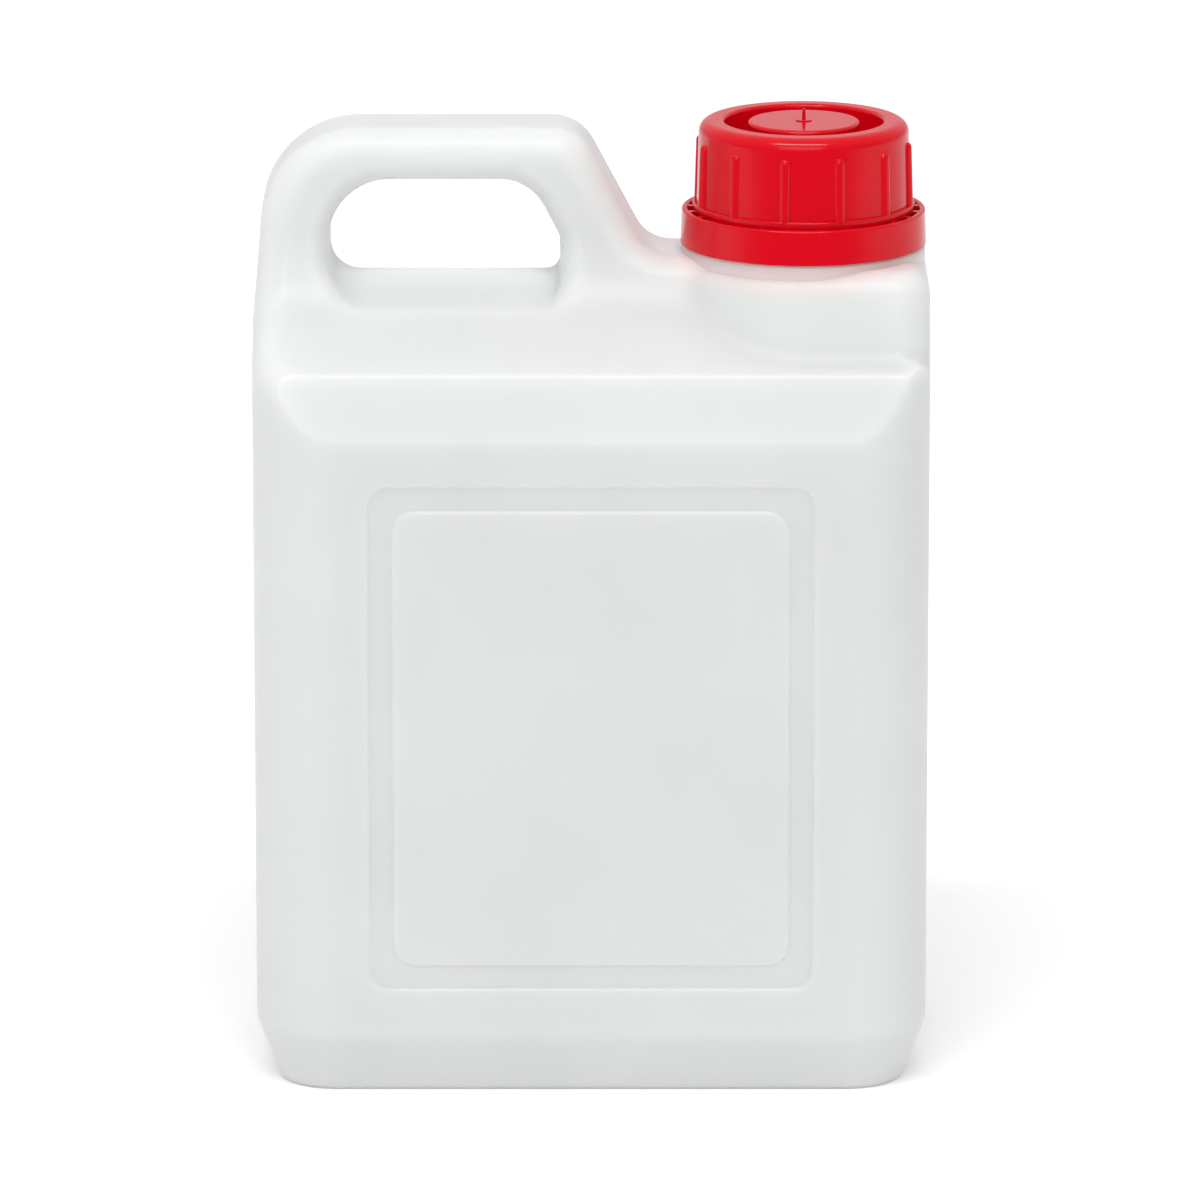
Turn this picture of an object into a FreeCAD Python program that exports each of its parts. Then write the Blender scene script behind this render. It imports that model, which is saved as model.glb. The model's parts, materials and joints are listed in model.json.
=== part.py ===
import FreeCAD, Part
import math
import os

# Two litre jerrycan in natural polyethylene with a red screw closure.
# Millimetres. X runs across the can, Y from front to back, Z up.
# The origin lies on the floor, at the middle of the can's width and depth.

V = FreeCAD.Vector

# Body, blow moulded in two halves that meet at y = 0
can_width = 148.8
can_depth = 88.0
can_height = 211.2            # floor to the top of the grip
corner_radius = 18.0          # upright corners of the body

# Foot
foot_height = 14.0            # raking band between the walls and the floor
foot_inset = 5.2
foot_edge_radius = 2.0
foot_blend_radius = 8.0
push_up_depth = 2.2           # the floor domes in, so that the can stands on a rim
push_up_rim = 8.0             # width of that rim
push_up_draft = 3.0
pinch_off_length = 96.0       # weld line across the floor, where the mould nips the parison shut
pinch_off_width = 1.2
pinch_off_height = 0.8

# Facet and shoulder
facet_height = 13.7
facet_setback = 6.0
ridge_radius = 2.0            # edge between the facet and the shoulder
shoulder_angle = 30.0         # rise of the shoulder above level
shoulder_curve_radius = 23.0  # hollow curve from the shoulder up into the grip
shoulder_drop = 5.86624       # the shoulder would meet the grip's wall this far below the neck's flat

# Grip and its finger hole
grip_depth = 26.0
grip_edge_radius = 6.0
grip_lean = 3.2               # the left side leans in by this much at the grip's top
grip_lean_drop = 41.2         # the lean starts this far below the grip's top
grip_rise = 28.8              # grip's top above the neck's flat
grip_outer_radius = 21.7
grip_inner_radius = 10.5      # at the top of the slope towards the neck
slope_reach = 76.8            # right wall to where the slope towards the neck meets the grip's top
slope_angle = 62.0
slope_foot_radius = 9.0
grip_post = 16.6              # upright of the grip, from the left wall to the hole
grip_bar = 11.4               # bar above the hole
hole_wall = 4.5               # hole's right side, left of where the slope meets the grip's top
hole_height = 21.7            # at the parting line, where the hole is narrowest
hole_fall = 14.5              # degrees that the hole's floor falls from the parting line, front and back
hole_outer_radius = 13.6
hole_inner_radius = 11.0
hole_slope_foot = 9.1         # upright stretch of the hole's right side
hole_slope_foot_radius = 5.0
hole_lower_left_radius = 7.0
hole_lower_right_radius = 3.0
hole_top_straight = 0.9       # top corners of a narrow hole take no more of its width than this
hole_edge_radius = 5.0

# Neck and the collar of the shoulder round it
neck_inset = 27.5             # neck's axis to the right wall
collar_radius = 27.0
collar_spread = 8.0           # growth of the collar down to the ridge's level
collar_blend_radius = 8.0
pad_height = 1.5              # round pad on the collar, under the closure's band
pad_edge_radius = 0.6
neck_bead_proud = 2.8         # bead that holds the tamper band down
neck_bead_height = 2.2
neck_bead_rise = 4.6

# Label panel, front and back
label_margin = 25.15          # from each side wall
label_top_gap = 9.8           # from the facet down to the label's frame
label_bottom = 24.2
label_radius = 5.2
moat_width = 6.1
moat_depth = 0.45
moat_side_run = 0.6           # run of each sloping side of the moat
panel_radius = 4.5

# Closure: screw cap
cap_height = 20.0
cap_plate = 9.4               # thickness of the closed top, which sits on the neck
cap_radius = 23.15
cap_wall = 2.35               # skirt's wall at its top, round the neck
cap_taper = 0.45              # growth of the skirt down to its foot
cap_edge_radius = 2.6
cap_rim = 5.65                # width of the rim outside the groove
groove_width = 5.1
groove_depth = 5.5
groove_corner_radius = 0.8
disc_drop = 0.2
thread_clearance = 0.4
rib_count = 12
rib_phase = 18.7              # degrees from the front to the first rib
rib_radius = 1.35             # half round, with a domed head
rib_proud = 1.0
rib_head_drop = 4.1           # top of the rib's head below the cap's top
cap_foot_height = 1.8
cap_foot_proud = 0.95
cap_foot_edge_radius = 0.4
gate_radius = 1.8
gate_height = 0.25
gate_nub_radius = 0.45
gate_nub_tip_radius = 0.3
gate_nub_height = 2.6

# Closure: tamper band under the cap
band_clearance = 0.3          # between the band and the pad round the neck
band_height = 7.7
band_lap = 0.4                # the band's top edge stands this far above the cap's foot
band_gap = 1.05               # round the cap's foot
band_flare = 0.3              # growth of the band down to its lower edge
band_wall = 1.3
band_edge_radius = 0.5
bridge_count = 24
bridge_root = 2.4
bridge_tip = 0.9
bridge_height = 2.4
bridge_overlap = 0.8          # reach of each bridge under the cap's foot

half_width = can_width / 2
half_depth = can_depth / 2
half_grip = grip_depth / 2
neck_x = half_width - neck_inset
neck_radius = cap_radius - cap_wall - thread_clearance
neck_bead_radius = neck_radius + neck_bead_proud
groove_radius = cap_radius - cap_rim
disc_radius = groove_radius - groove_width
cap_foot_radius = cap_radius + cap_taper + cap_foot_proud
band_radius = cap_foot_radius + band_gap + band_wall + band_flare
neck_level = can_height - grip_rise
curve_z = neck_level - shoulder_drop
ridge_y = half_depth - facet_setback
ridge_z = curve_z - (ridge_y - half_grip) * math.tan(math.radians(shoulder_angle))
facet_bottom = ridge_z - facet_height
slope_top = half_width - slope_reach
label_width = can_width - 2 * label_margin
label_height = facet_bottom - label_top_gap - label_bottom
band_bottom = neck_level + pad_height + band_clearance
band_top = band_bottom + band_height
cap_bottom = band_top - band_lap
cap_top = cap_bottom + cap_height
neck_top = cap_top - cap_plate
tiny = 0.01


def rounded_wire(corners, place):
    """Closed wire through (a, b, radius) corners, rounded by arcs. place(a, b) gives the point in space."""
    count = len(corners)
    bends = []
    for i in range(count):
        before = V(*corners[i - 1][:2], 0)
        here = V(*corners[i][:2], 0)
        after = V(*corners[(i + 1) % count][:2], 0)
        radius = corners[i][2]
        if radius == 0:
            bends.append((here, None, here))
            continue
        to_before = (before - here).normalize()
        to_after = (after - here).normalize()
        half_angle = to_before.getAngle(to_after) / 2
        reach = radius / math.tan(half_angle)
        middle = here + (to_before + to_after).normalize() * (radius / math.sin(half_angle) - radius)
        bends.append((here + to_before * reach, middle, here + to_after * reach))
    edges = []
    for i, (start, middle, end) in enumerate(bends):
        last_end = bends[i - 1][2]
        if last_end.distanceToPoint(start) > tiny:
            edges.append(Part.makeLine(place(last_end.x, last_end.y), place(start.x, start.y)))
        if middle is not None:
            arc = Part.Arc(place(start.x, start.y), place(middle.x, middle.y), place(end.x, end.y))
            edges.append(arc.toShape())
    return Part.Wire(edges)


def prism(corners, place, direction):
    return Part.Face(rounded_wire(corners, place)).extrude(direction)


def rectangle(half_a, half_b, radius, centre_b=0.0):
    return [(-half_a, centre_b - half_b, radius), (half_a, centre_b - half_b, radius),
            (half_a, centre_b + half_b, radius), (-half_a, centre_b + half_b, radius)]


def level(z):
    """Plane that lies flat at height z."""
    return lambda a, b: V(a, b, z)


def upright(y):
    """Plane that stands across the can at depth y."""
    return lambda a, b: V(a, y, b)


def facing(x):
    """Plane that stands along the can's depth at x."""
    return lambda a, b: V(x, a, b)


def revolve(corners, x):
    """Solid of revolution about the upright axis at x, from (radius, z, rounding) corners."""
    wire = rounded_wire(corners, lambda r, z: V(x + r, 0, z))
    return Part.Face(wire).revolve(V(x, 0, 0), V(0, 0, 1), 360)


def edges_where(shape, test):
    return [edge for edge in shape.Edges if test(edge.BoundBox)]


def lies_at(low, high, value):
    return abs(low - value) < tiny and abs(high - value) < tiny


def block():
    """Upright block of the can's full width and depth, on its raking foot."""
    walls = rectangle(half_width, half_depth, corner_radius)
    sole = rectangle(half_width - foot_inset, half_depth - foot_inset, corner_radius - foot_inset)
    foot = Part.makeLoft([rounded_wire(sole, level(0)), rounded_wire(walls, level(foot_height))], True, True)
    return foot.fuse(prism(walls, level(foot_height), V(0, 0, can_height)))


def side_outline():
    """The can from its side, as (y, z, radius): walls, facets, shoulders and the upright grip."""
    front = [(-half_depth, 0, 0), (-half_depth, facet_bottom, 0), (-ridge_y, ridge_z, 0),
             (-half_grip, curve_z, shoulder_curve_radius), (-half_grip, 2 * can_height, 0)]
    back = [(-y, z, radius) for y, z, radius in reversed(front)]
    return front + back


def front_outline():
    """The can from its front, as (x, z, radius): grip at the left, slope, and flat for the neck."""
    slope_bottom = slope_top + (can_height - neck_level) / math.tan(math.radians(slope_angle))
    return [(-half_width, 0, 0), (-half_width, can_height - grip_lean_drop, 0),
            (-half_width + grip_lean, can_height, grip_outer_radius),
            (slope_top, can_height, grip_inner_radius), (slope_bottom, neck_level, slope_foot_radius),
            (half_width, neck_level, 0), (half_width, 0, 0)]


def hole_outline(depth):
    """Finger hole at this depth from the parting line, with a right side that follows the slope."""
    left = -half_width + grip_post
    right = slope_top - hole_wall
    top = can_height - grip_bar
    crest = top - hole_height
    bottom = crest - depth * math.tan(math.radians(hole_fall))
    upper_right = right - (hole_height - hole_slope_foot) / math.tan(math.radians(slope_angle))
    ends = hole_outer_radius + hole_inner_radius * math.tan(math.radians(slope_angle / 2))
    fit = min(1, hole_top_straight * (upper_right - left) / ends)
    return [(left, bottom, hole_lower_left_radius), (left, top, hole_outer_radius * fit),
            (upper_right, top, hole_inner_radius * fit),
            (right, crest + hole_slope_foot, hole_slope_foot_radius),
            (right, bottom, hole_lower_right_radius)]


def hole():
    """The finger hole's space, in two halves whose floors fall away from the parting line."""
    middle = rounded_wire(hole_outline(0), upright(0))
    halves = []
    for side in (-1, 1):
        mouth = rounded_wire(hole_outline(half_depth), upright(side * half_depth))
        halves.append(Part.makeLoft([middle, mouth], True, True))
    return halves[0].fuse(halves[1])


def collar():
    """Shoulder round the neck: half a cone on the left, carried straight on to the right wall."""
    foot_radius = collar_radius + collar_spread
    height = neck_level - ridge_z
    cone = Part.makeCone(foot_radius, collar_radius, height, V(neck_x, 0, ridge_z))
    section = [(-foot_radius, ridge_z, 0), (-collar_radius, neck_level, 0),
               (collar_radius, neck_level, 0), (foot_radius, ridge_z, 0)]
    return cone.fuse(prism(section, facing(neck_x), V(can_width, 0, 0)))


def blend_collar(shape):
    """Hollow blend where the collar rises from the shoulder, and round corners at the right wall."""
    slope = collar_spread / (neck_level - ridge_z)

    def on_collar(edge):
        middle = edge.valueAt((edge.FirstParameter + edge.LastParameter) / 2)
        from_axis = abs(middle.y) if middle.x > neck_x else math.hypot(middle.x - neck_x, middle.y)
        radius_there = collar_radius + slope * (neck_level - middle.z)
        return abs(from_axis - radius_there) < tiny and ridge_z < edge.BoundBox.ZMin < neck_level - tiny

    return shape.makeFillet(collar_blend_radius, [edge for edge in shape.Edges if on_collar(edge)])


def blend_grip(shape):
    """Round the whole rim of the upper body. It runs on from the grip's top edges without a break."""
    rim = edges_where(shape, lambda box: lies_at(box.ZMin, box.ZMax, can_height) and box.XLength > tiny)
    return shape.makeFillet(grip_edge_radius, rim)


def blend_ridge(shape):
    ridge = edges_where(shape, lambda box: lies_at(box.ZMin, box.ZMax, ridge_z) and box.XLength > half_width)
    return shape.makeFillet(ridge_radius, ridge)


def cut_hole(shape):
    shape = shape.cut(hole())
    hole_top = can_height - grip_bar
    rim = edges_where(shape, lambda box: lies_at(box.ZMin, box.ZMax, hole_top) and box.XLength > tiny)
    return shape.makeFillet(hole_edge_radius, rim)


def blend_foot(shape):
    foot_top = edges_where(shape, lambda box: lies_at(box.ZMin, box.ZMax, foot_height))
    shape = shape.makeFillet(foot_blend_radius, foot_top)
    sole = edges_where(shape, lambda box: lies_at(box.ZMin, box.ZMax, 0))
    shape = shape.makeFillet(foot_edge_radius, sole)
    return shape.cut(push_up()).fuse(pinch_off())


def push_up():
    """Recess under the floor, so that the can stands on a rim all round."""
    half_a = half_width - foot_inset - push_up_rim
    half_b = half_depth - foot_inset - push_up_rim
    radius = corner_radius - foot_inset - push_up_rim / 2
    mouth = rectangle(half_a, half_b, radius)
    roof = rectangle(half_a - push_up_draft, half_b - push_up_draft, radius - push_up_draft / 2)
    sections = [rounded_wire(mouth, level(0)), rounded_wire(roof, level(push_up_depth))]
    return Part.makeLoft(sections, True, True)


def pinch_off():
    """Low weld bead along the middle of the floor, inside the push-up."""
    ends = rectangle(pinch_off_length / 2, pinch_off_width / 2, pinch_off_width / 2 - tiny)
    return prism(ends, level(push_up_depth - pinch_off_height), V(0, 0, 2 * pinch_off_height))


def moat(side):
    """Shallow moat round the label panel on the front (side -1) or the back (side 1)."""
    middle = label_bottom + label_height / 2
    surface = side * half_depth
    floor = side * (half_depth - moat_depth)

    def plate(half_a, half_b, radius, grow):
        low = rectangle(half_a + grow, half_b + grow, radius + grow, middle)
        high = rectangle(half_a, half_b, radius, middle)
        sections = [rounded_wire(high, upright(surface)), rounded_wire(low, upright(floor))]
        return Part.makeLoft(sections, True, True)

    outer = plate(label_width / 2, label_height / 2, label_radius, -moat_side_run)
    inner = plate(label_width / 2 - moat_width, label_height / 2 - moat_width, panel_radius, moat_side_run)
    return outer.cut(inner)


def neck():
    """Pad and neck, closed at the top, with the bead that holds the tamper band down."""
    bead_z = neck_level + neck_bead_rise
    return revolve([(0, neck_level - pad_height, 0), (collar_radius, neck_level - pad_height, 0),
                    (collar_radius, neck_level + pad_height, pad_edge_radius),
                    (neck_radius, neck_level + pad_height, pad_edge_radius),
                    (neck_radius, bead_z, 0), (neck_bead_radius, bead_z, 0),
                    (neck_radius, bead_z + neck_bead_height, 0), (neck_radius, neck_top, 0.5),
                    (0, neck_top, 0)], neck_x)


def can_body():
    body = block()
    shape = body.common(prism(side_outline(), facing(-can_width), V(2 * can_width, 0, 0)))
    shape = shape.common(prism(front_outline(), upright(-can_depth), V(0, 2 * can_depth, 0)))
    shape = shape.fuse(collar().common(body)).removeSplitter()
    shape = blend_collar(shape)
    shape = blend_grip(shape)
    shape = blend_ridge(shape)
    shape = cut_hole(shape)
    shape = blend_foot(shape)
    for side in (-1, 1):
        shape = shape.cut(moat(side))
    return shape.fuse(neck())


def rib(angle):
    """One half-round grip rib that leans with the skirt, with a domed head."""
    foot = V(neck_x, -(cap_radius + cap_taper + rib_proud - rib_radius), cap_bottom)
    head = V(neck_x, -(cap_radius + rib_proud - rib_radius), cap_top - rib_head_drop - rib_radius)
    along = head - foot
    bar = Part.makeCylinder(rib_radius, 2 * along.Length, foot - along, along)
    bar = bar.fuse(Part.makeSphere(rib_radius, head))
    above_foot = Part.makeCylinder(2 * cap_radius, cap_height, V(neck_x, 0, cap_bottom))
    bar = bar.common(above_foot)
    bar.rotate(V(neck_x, 0, 0), V(0, 0, 1), angle)
    return bar


def screw_cap():
    foot_top = cap_bottom + cap_foot_height
    base_radius = cap_radius + cap_taper
    bore = neck_radius + thread_clearance
    floor = cap_top - groove_depth
    shell = revolve([(0, neck_top, 0), (0, cap_top - disc_drop, 0),
                     (disc_radius, cap_top - disc_drop, groove_corner_radius),
                     (disc_radius, floor, groove_corner_radius), (groove_radius, floor, groove_corner_radius),
                     (groove_radius, cap_top, groove_corner_radius), (cap_radius, cap_top, cap_edge_radius),
                     (base_radius, foot_top, 0), (cap_foot_radius, foot_top, cap_foot_edge_radius),
                     (cap_foot_radius, cap_bottom, 0),
                     (bore, cap_bottom, 0), (bore, neck_top, 0)], neck_x)
    for i in range(rib_count):
        shell = shell.fuse(rib(rib_phase + i * 360 / rib_count))
    gate_z = cap_top - disc_drop
    ring_top = gate_z + gate_height
    nub_top = gate_z + gate_nub_height
    gate = revolve([(0, gate_z - gate_height, 0), (gate_radius, gate_z - gate_height, 0),
                    (gate_radius, ring_top, gate_height / 2), (gate_nub_radius, ring_top, 0),
                    (gate_nub_tip_radius, nub_top, 0), (0, nub_top, 0)], neck_x)
    return shell.fuse(gate).removeSplitter()


def tamper_band():
    inside = band_radius - band_flare - band_wall
    ring = revolve([(inside, band_bottom, 0), (band_radius, band_bottom, 0),
                    (band_radius - band_flare, band_top, band_edge_radius),
                    (inside, band_top, band_edge_radius)], neck_x)
    tip_y = -(cap_foot_radius - bridge_overlap)
    root_y = -(inside + band_wall / 2)
    tooth = [(-bridge_tip / 2, tip_y, 0), (bridge_tip / 2, tip_y, 0),
             (bridge_root / 2, root_y, 0), (-bridge_root / 2, root_y, 0)]
    wedge = prism(tooth, lambda a, b: V(neck_x + a, b, cap_bottom - bridge_height), V(0, 0, bridge_height))
    for i in range(bridge_count):
        turned = wedge.copy()
        turned.rotate(V(neck_x, 0, 0), V(0, 0, 1), (i + 0.5) * 360 / bridge_count)
        ring = ring.fuse(turned)
    return ring.removeSplitter()


def main():
    os.makedirs("parts", exist_ok=True)
    nodes = {"can_body": can_body(), "screw_cap": screw_cap(), "tamper_band": tamper_band()}
    for name, shape in nodes.items():
        print(name, "solids", len(shape.Solids), "valid", shape.isValid(), "volume", round(shape.Volume))
        shape.Solids[0].exportStep("parts/" + name + ".step")


main()
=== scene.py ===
import json
from math import cos, radians, sin

import bmesh
import bpy
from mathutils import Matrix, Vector


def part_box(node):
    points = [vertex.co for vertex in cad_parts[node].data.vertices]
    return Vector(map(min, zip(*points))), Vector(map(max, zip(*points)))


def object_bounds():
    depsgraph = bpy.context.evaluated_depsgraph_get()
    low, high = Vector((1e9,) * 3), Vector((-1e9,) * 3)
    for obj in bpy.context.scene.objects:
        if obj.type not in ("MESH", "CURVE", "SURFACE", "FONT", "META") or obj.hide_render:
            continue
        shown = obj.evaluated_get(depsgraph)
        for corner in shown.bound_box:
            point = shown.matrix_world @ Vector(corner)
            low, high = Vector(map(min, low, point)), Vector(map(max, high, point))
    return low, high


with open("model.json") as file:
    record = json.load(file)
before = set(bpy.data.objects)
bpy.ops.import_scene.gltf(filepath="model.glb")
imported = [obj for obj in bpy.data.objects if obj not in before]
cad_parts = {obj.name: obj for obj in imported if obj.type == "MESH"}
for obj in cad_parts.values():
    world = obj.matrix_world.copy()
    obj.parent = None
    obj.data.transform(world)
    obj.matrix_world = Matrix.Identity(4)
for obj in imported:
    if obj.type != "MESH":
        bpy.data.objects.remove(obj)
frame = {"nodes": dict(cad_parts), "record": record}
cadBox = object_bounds()
low, high = cadBox
middle = (low + high) / 2
height = high.z - low.z
mm = 0.001
print("loaded", sorted(frame["nodes"]))


def linear(hexColour):
    # the shader wants linear light, the palette is written as on a colour card
    parts = [int(hexColour[i:i + 2], 16) / 255 for i in (1, 3, 5)]
    lit = [c / 12.92 if c <= 0.04045 else ((c + 0.055) / 1.055) ** 2.4 for c in parts]
    return (*lit, 1.0)


def addNode(tree, kind, settings={}, links={}):
    node = tree.nodes.new(kind)
    for name, value in settings.items():
        if name in node.inputs:
            node.inputs[name].default_value = value
        else:
            setattr(node, name, value)
    for name, source in links.items():
        tree.links.new(source, node.inputs[name])
    return node


def multiply(tree, first, second):
    node = addNode(tree, "ShaderNodeMath", {"operation": "MULTIPLY"})
    tree.links.new(first, node.inputs[0])
    tree.links.new(second, node.inputs[1])
    return node.outputs["Value"]


def mixColours(tree, share, first, second):
    # a mix node's colour sockets come after those for its numbers and vectors
    node = addNode(tree, "ShaderNodeMix", {"data_type": "RGBA"}, {"Factor": share})
    for socket, colour in ((node.inputs[6], first), (node.inputs[7], second)):
        if isinstance(colour, str):
            socket.default_value = linear(colour)
        else:
            tree.links.new(colour, socket)
    return node.outputs[2]


def newMaterial(name):
    material = bpy.data.materials.new(name)
    material.use_nodes = True
    material.node_tree.nodes.clear()
    return material, material.node_tree


def finishMaterial(tree, shader):
    addNode(tree, "ShaderNodeOutputMaterial", links={"Surface": shader.outputs[0]})


def dress(node, material):
    piece = frame["nodes"][node]
    piece.data.materials.clear()
    piece.data.materials.append(material)


# the can: natural high density polyethylene, blow moulded, milky and half see-through

canLook = {
    "colour": "#d0d2d1",
    "thinColour": "#d4d6d5",
    "cloud": 45 * mm,          # drifts in wall thickness
    "cloudRange": (0.3, 0.7),  # part of the noise over which the two colours drift
    "grain": 0.7 * mm,         # sandblasted mould steel, drawn a little coarse to show
    "grainDepth": 0.045 * mm,
    "grainStrength": 0.5,
    "seamWidth": 0.5 * mm,     # parting line of the two mould halves
    "seamDepth": 0.1 * mm,
    "seamStrength": 0.6,
    "roseColour": "#e8d1cf",   # painted light: a pink glow painted under the closure stands in for its red bounce light and lightens the shade under the band
    "roseMost": 0.9,
    "roseDepth": 8 * mm,       # below the band, where it is gone
    "roseTop": 1 * mm,         # below the band, where it is strongest
    "roseWidth": 6 * mm,
    "paleColour": "#dee0df",   # painted glow: walls near the parting line, painted lighter as if lit through from behind
    "paleDepth": (12 * mm, 2 * mm),      # from the parting line: where it starts, where it is full
    "paleReach": (12 * mm, 8 * mm),      # left of the hole and above it: where it starts, where it is full
    "roughness": 0.4,
    "ior": 1.54,
    "shine": 0.28,
    "milk": 1.0,
    "milkDepth": 12 * mm,
}


def naturalPolyethylene():
    # light sinks in and comes back white, so edges look soft and shadows stay pale
    material, tree = newMaterial("naturalBlowMouldedPolyethylene")
    place = addNode(tree, "ShaderNodeTexCoord").outputs["Object"]
    cloud = addNode(
        tree, "ShaderNodeTexNoise", {"Scale": 1 / canLook["cloud"], "Detail": 2.0}, {"Vector": place})
    tint = addNode(tree, "ShaderNodeValToRGB", links={"Fac": cloud.outputs["Fac"]})
    stops = zip(tint.color_ramp.elements, canLook["cloudRange"], ("colour", "thinColour"))
    for stop, position, shade in stops:
        stop.position = position
        stop.color = linear(canLook[shade])

    # painted red bounce light round the neck: strongest under the band, gone a few millimetres below it
    bandLow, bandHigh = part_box("tamper_band")
    axis = (bandLow + bandHigh) / 2
    bandRadius = (bandHigh.x - bandLow.x) / 2
    fromNeck = addNode(
        tree, "ShaderNodeMapping",
        {"Location": (-axis.x, -axis.y, 0), "Scale": (1, 1, 0)},
        {"Vector": place})
    reach = addNode(
        tree, "ShaderNodeVectorMath", {"operation": "LENGTH"}, {"Vector": fromNeck.outputs["Vector"]})
    inside = addNode(
        tree, "ShaderNodeMapRange",
        {"From Min": bandRadius + canLook["roseWidth"], "From Max": bandRadius},
        {"Value": reach.outputs["Value"]})
    split = addNode(tree, "ShaderNodeSeparateXYZ", links={"Vector": place})
    nearBand = addNode(
        tree, "ShaderNodeMapRange",
        {
            "From Min": bandLow.z - canLook["roseDepth"],
            "From Max": bandLow.z - canLook["roseTop"],
            "To Max": canLook["roseMost"],
        },
        {"Value": split.outputs["Z"]})
    paintedRedBounce = multiply(tree, inside.outputs["Result"], nearBand.outputs["Result"])
    colour = mixColours(tree, paintedRedBounce, tint.outputs["Color"], canLook["roseColour"])

    # painted glow, paler near the parting line, stands in for light shining through the thin walls and
    # lifts their shade: the walls inside the finger hole, the slope, the collar, and the middle of the
    # right side and the floor. The grip's top and the left side keep their colour
    offSeam = addNode(tree, "ShaderNodeMath", {"operation": "ABSOLUTE"}, {"Value": split.outputs["Y"]})
    starts, full = canLook["paleDepth"]
    outer, inner = canLook["paleReach"]
    holeLow, holeHigh = frame["record"]["physics"]["openings"][0]["box_m"]
    ramps = []
    for source, outside, within in (
        (offSeam.outputs["Value"], starts, full),
        (split.outputs["X"], holeLow[0] - outer, holeLow[0] - inner),
        (split.outputs["Z"], holeHigh[2] + outer, holeHigh[2] + inner),
    ):
        ramp = addNode(
            tree, "ShaderNodeMapRange", {"From Min": outside, "From Max": within}, {"Value": source})
        ramps.append(ramp.outputs["Result"])
    paintedGlow = multiply(tree, multiply(tree, ramps[0], ramps[1]), ramps[2])
    colour = mixColours(tree, paintedGlow, colour, canLook["paleColour"])

    # the parting line runs all round the can, half way between front and back
    seam = addNode(
        tree, "ShaderNodeMapRange", {"From Min": canLook["seamWidth"] / 2, "From Max": 0.0},
        {"Value": offSeam.outputs["Value"]})
    seamBump = addNode(
        tree, "ShaderNodeBump", {"Strength": canLook["seamStrength"], "Distance": canLook["seamDepth"]},
        {"Height": seam.outputs["Result"]})
    grain = addNode(
        tree, "ShaderNodeTexNoise", {"Scale": 1 / canLook["grain"], "Detail": 1.0}, {"Vector": place})
    bump = addNode(
        tree, "ShaderNodeBump", {"Strength": canLook["grainStrength"], "Distance": canLook["grainDepth"]},
        {"Height": grain.outputs["Fac"], "Normal": seamBump.outputs["Normal"]})
    shader = addNode(
        tree, "ShaderNodeBsdfPrincipled",
        {
            "Roughness": canLook["roughness"],
            "IOR": canLook["ior"],
            "Specular IOR Level": canLook["shine"],
            "Subsurface Weight": canLook["milk"],
            "Subsurface Radius": (1.0, 1.0, 1.0),
            "Subsurface Scale": canLook["milkDepth"],
        },
        {"Base Color": colour, "Normal": bump.outputs["Normal"]})
    finishMaterial(tree, shader)
    return material


dress("can_body", naturalPolyethylene())
print("can dressed")


# the closure: red polyethylene, injection moulded

closureLook = {
    "colour": "#cc0016",
    "roughness": 0.16,
    "ior": 1.54,
    "shine": 0.2,
}


def redPolyethylene():
    material, tree = newMaterial("redInjectionMouldedPolyethylene")
    shader = addNode(
        tree, "ShaderNodeBsdfPrincipled",
        {
            "Base Color": linear(closureLook["colour"]),
            "Roughness": closureLook["roughness"],
            "IOR": closureLook["ior"],
            "Specular IOR Level": closureLook["shine"],
        })
    finishMaterial(tree, shader)
    return material


closureRed = redPolyethylene()
for node in ("screw_cap", "tamper_band"):
    dress(node, closureRed)
print("closure dressed")


# the studio: a white table lit from below, two wide soft lights in front, white overhead and behind

studio = {
    "tableColour": "#e6e6e6",
    "tableRoughness": 0.9,
    "tableShine": 0.2,
    "tableRadius": 20.0,
    "tableSides": 96,
    "glowNear": 0.2,           # the board is lit from below, more so away from the can
    "glowFar": 0.45,
    "glowStart": 0.1,          # metres from the middle, where the glow begins to rise
    "glowReach": 0.5,
    "fadeNear": 0.45,          # in front of the can the table fades to grey between these
    "fadeFar": 0.95,
    "fadeColour": "#707070",
    "brightSide": (-0.13, 0.42, 0.9),    # above, behind and a little to the left
    "bright": 0.85,
    "dim": 0.0,
    "key": (60, -5, 1.7, (1.3, 0.2), 16.5),     # degrees up, degrees aside, distance, size, watts
    "fill": (24, -3, 1.7, (1.4, 0.8), 6.4),
}


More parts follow.
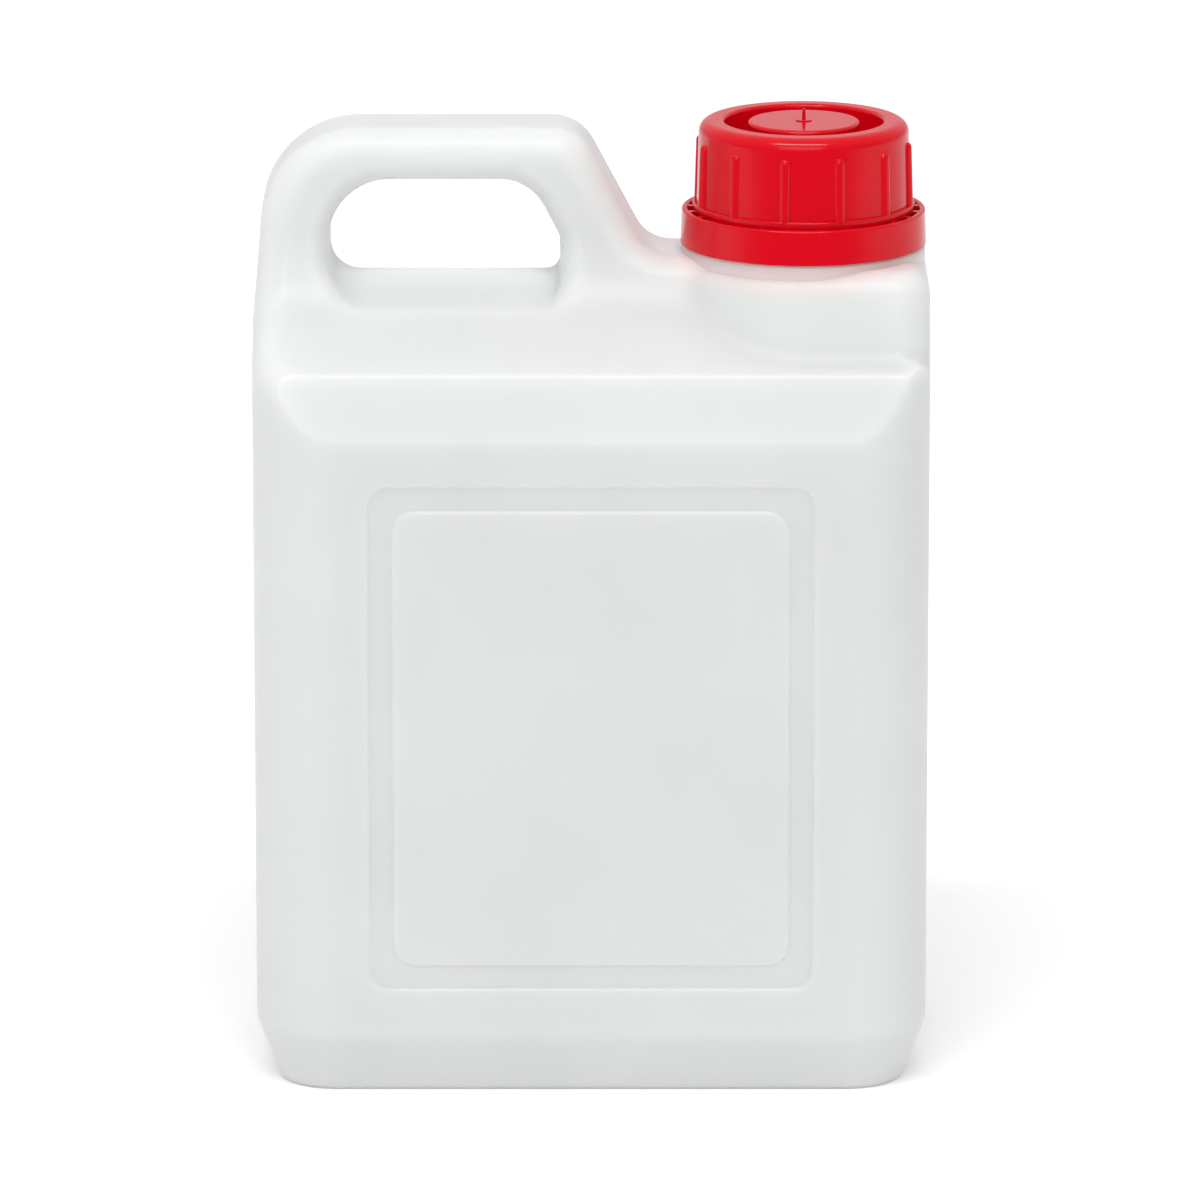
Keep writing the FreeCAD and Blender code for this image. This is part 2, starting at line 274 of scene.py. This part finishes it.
def whiteTable():
    mesh = bpy.data.meshes.new("table")
    shape = bmesh.new()
    bmesh.ops.create_circle(
        shape, cap_ends=True, segments=studio["tableSides"], radius=studio["tableRadius"])
    bmesh.ops.translate(shape, verts=shape.verts, vec=(middle.x, middle.y, low.z))
    shape.to_mesh(mesh)
    shape.free()
    table = bpy.data.objects.new("table", mesh)
    bpy.context.scene.collection.objects.link(table)
    material, tree = newMaterial("matteWhiteBoard")
    place = addNode(tree, "ShaderNodeTexCoord").outputs["Object"]
    reach = addNode(tree, "ShaderNodeVectorMath", {"operation": "LENGTH"}, {"Vector": place})
    glow = addNode(
        tree, "ShaderNodeMapRange",
        {
            "From Min": studio["glowStart"], "From Max": studio["glowReach"],
            "To Min": studio["glowNear"], "To Max": studio["glowFar"],
        },
        {"Value": reach.outputs["Value"]})
    split = addNode(tree, "ShaderNodeSeparateXYZ", links={"Vector": place})
    white = addNode(
        tree, "ShaderNodeMapRange",
        {
            "From Min": -studio["fadeFar"], "From Max": -studio["fadeNear"],
            "interpolation_type": "SMOOTHSTEP",
        },
        {"Value": split.outputs["Y"]})
    board = mixColours(tree, white.outputs["Result"], studio["fadeColour"], studio["tableColour"])
    lit = multiply(tree, glow.outputs["Result"], white.outputs["Result"])
    shader = addNode(
        tree, "ShaderNodeBsdfPrincipled",
        {
            "Roughness": studio["tableRoughness"],
            "Specular IOR Level": studio["tableShine"],
            "Emission Color": (1, 1, 1, 1),
        },
        {"Base Color": board, "Emission Strength": lit})
    finishMaterial(tree, shader)
    mesh.materials.append(material)


def softLight(name, elevation, azimuth, distance, size, power):
    lamp = bpy.data.lights.new(name, "AREA")
    lamp.shape = "RECTANGLE"
    lamp.size, lamp.size_y = size
    lamp.energy = power
    light = bpy.data.objects.new(name, lamp)
    flat = cos(radians(elevation))
    around = radians(azimuth)
    away = Vector((sin(around) * flat, -cos(around) * flat, sin(radians(elevation))))
    light.location = middle + away * distance
    light.rotation_euler = away.to_track_quat("Z", "Y").to_euler()
    bpy.context.scene.collection.objects.link(light)


def whiteSurround():
    # white overhead and behind, fading to a dark room in front and below
    world = bpy.data.worlds.new("whiteStudio")
    world.use_nodes = True
    tree = world.node_tree
    towards = addNode(tree, "ShaderNodeTexCoord").outputs["Generated"]
    facing = addNode(tree, "ShaderNodeVectorMath", {"operation": "DOT_PRODUCT"}, {"Vector": towards})
    facing.inputs[1].default_value = studio["brightSide"]
    level = addNode(
        tree, "ShaderNodeMapRange",
        {"From Min": -1.0, "From Max": 1.0, "To Min": studio["dim"], "To Max": studio["bright"]},
        {"Value": facing.outputs["Value"]})
    backdrop = tree.nodes["Background"]
    backdrop.inputs["Color"].default_value = (1, 1, 1, 1)
    tree.links.new(level.outputs["Result"], backdrop.inputs["Strength"])
    bpy.context.scene.world = world


whiteTable()
for name in ("key", "fill"):
    softLight(name, *studio[name])
whiteSurround()
bpy.context.scene.view_settings.view_transform = "Standard"
print("studio lit")


view = {
    "downward": 14.0,          # degrees
    "distance": 2.3,
    "lens": 309.3,             # millimetres
    "sensor": 36.0,
    "farthest": 60.0,          # metres that the camera sees
    "aimAside": 1.95 * mm,
    "aimHeight": 0.478,        # share of the jerrycan's height
}


def placeCamera():
    lens = bpy.data.cameras.new("camera")
    lens.lens = view["lens"]
    lens.sensor_width = view["sensor"]
    lens.clip_end = view["farthest"]
    camera = bpy.data.objects.new("camera", lens)
    tilt = radians(view["downward"])
    aim = Vector((middle.x + view["aimAside"], middle.y, low.z + view["aimHeight"] * height))
    camera.location = aim + view["distance"] * Vector((0, -cos(tilt), sin(tilt)))
    camera.rotation_euler = (radians(90) - tilt, 0, 0)
    bpy.context.scene.collection.objects.link(camera)
    bpy.context.scene.camera = camera


placeCamera()
print("camera placed")
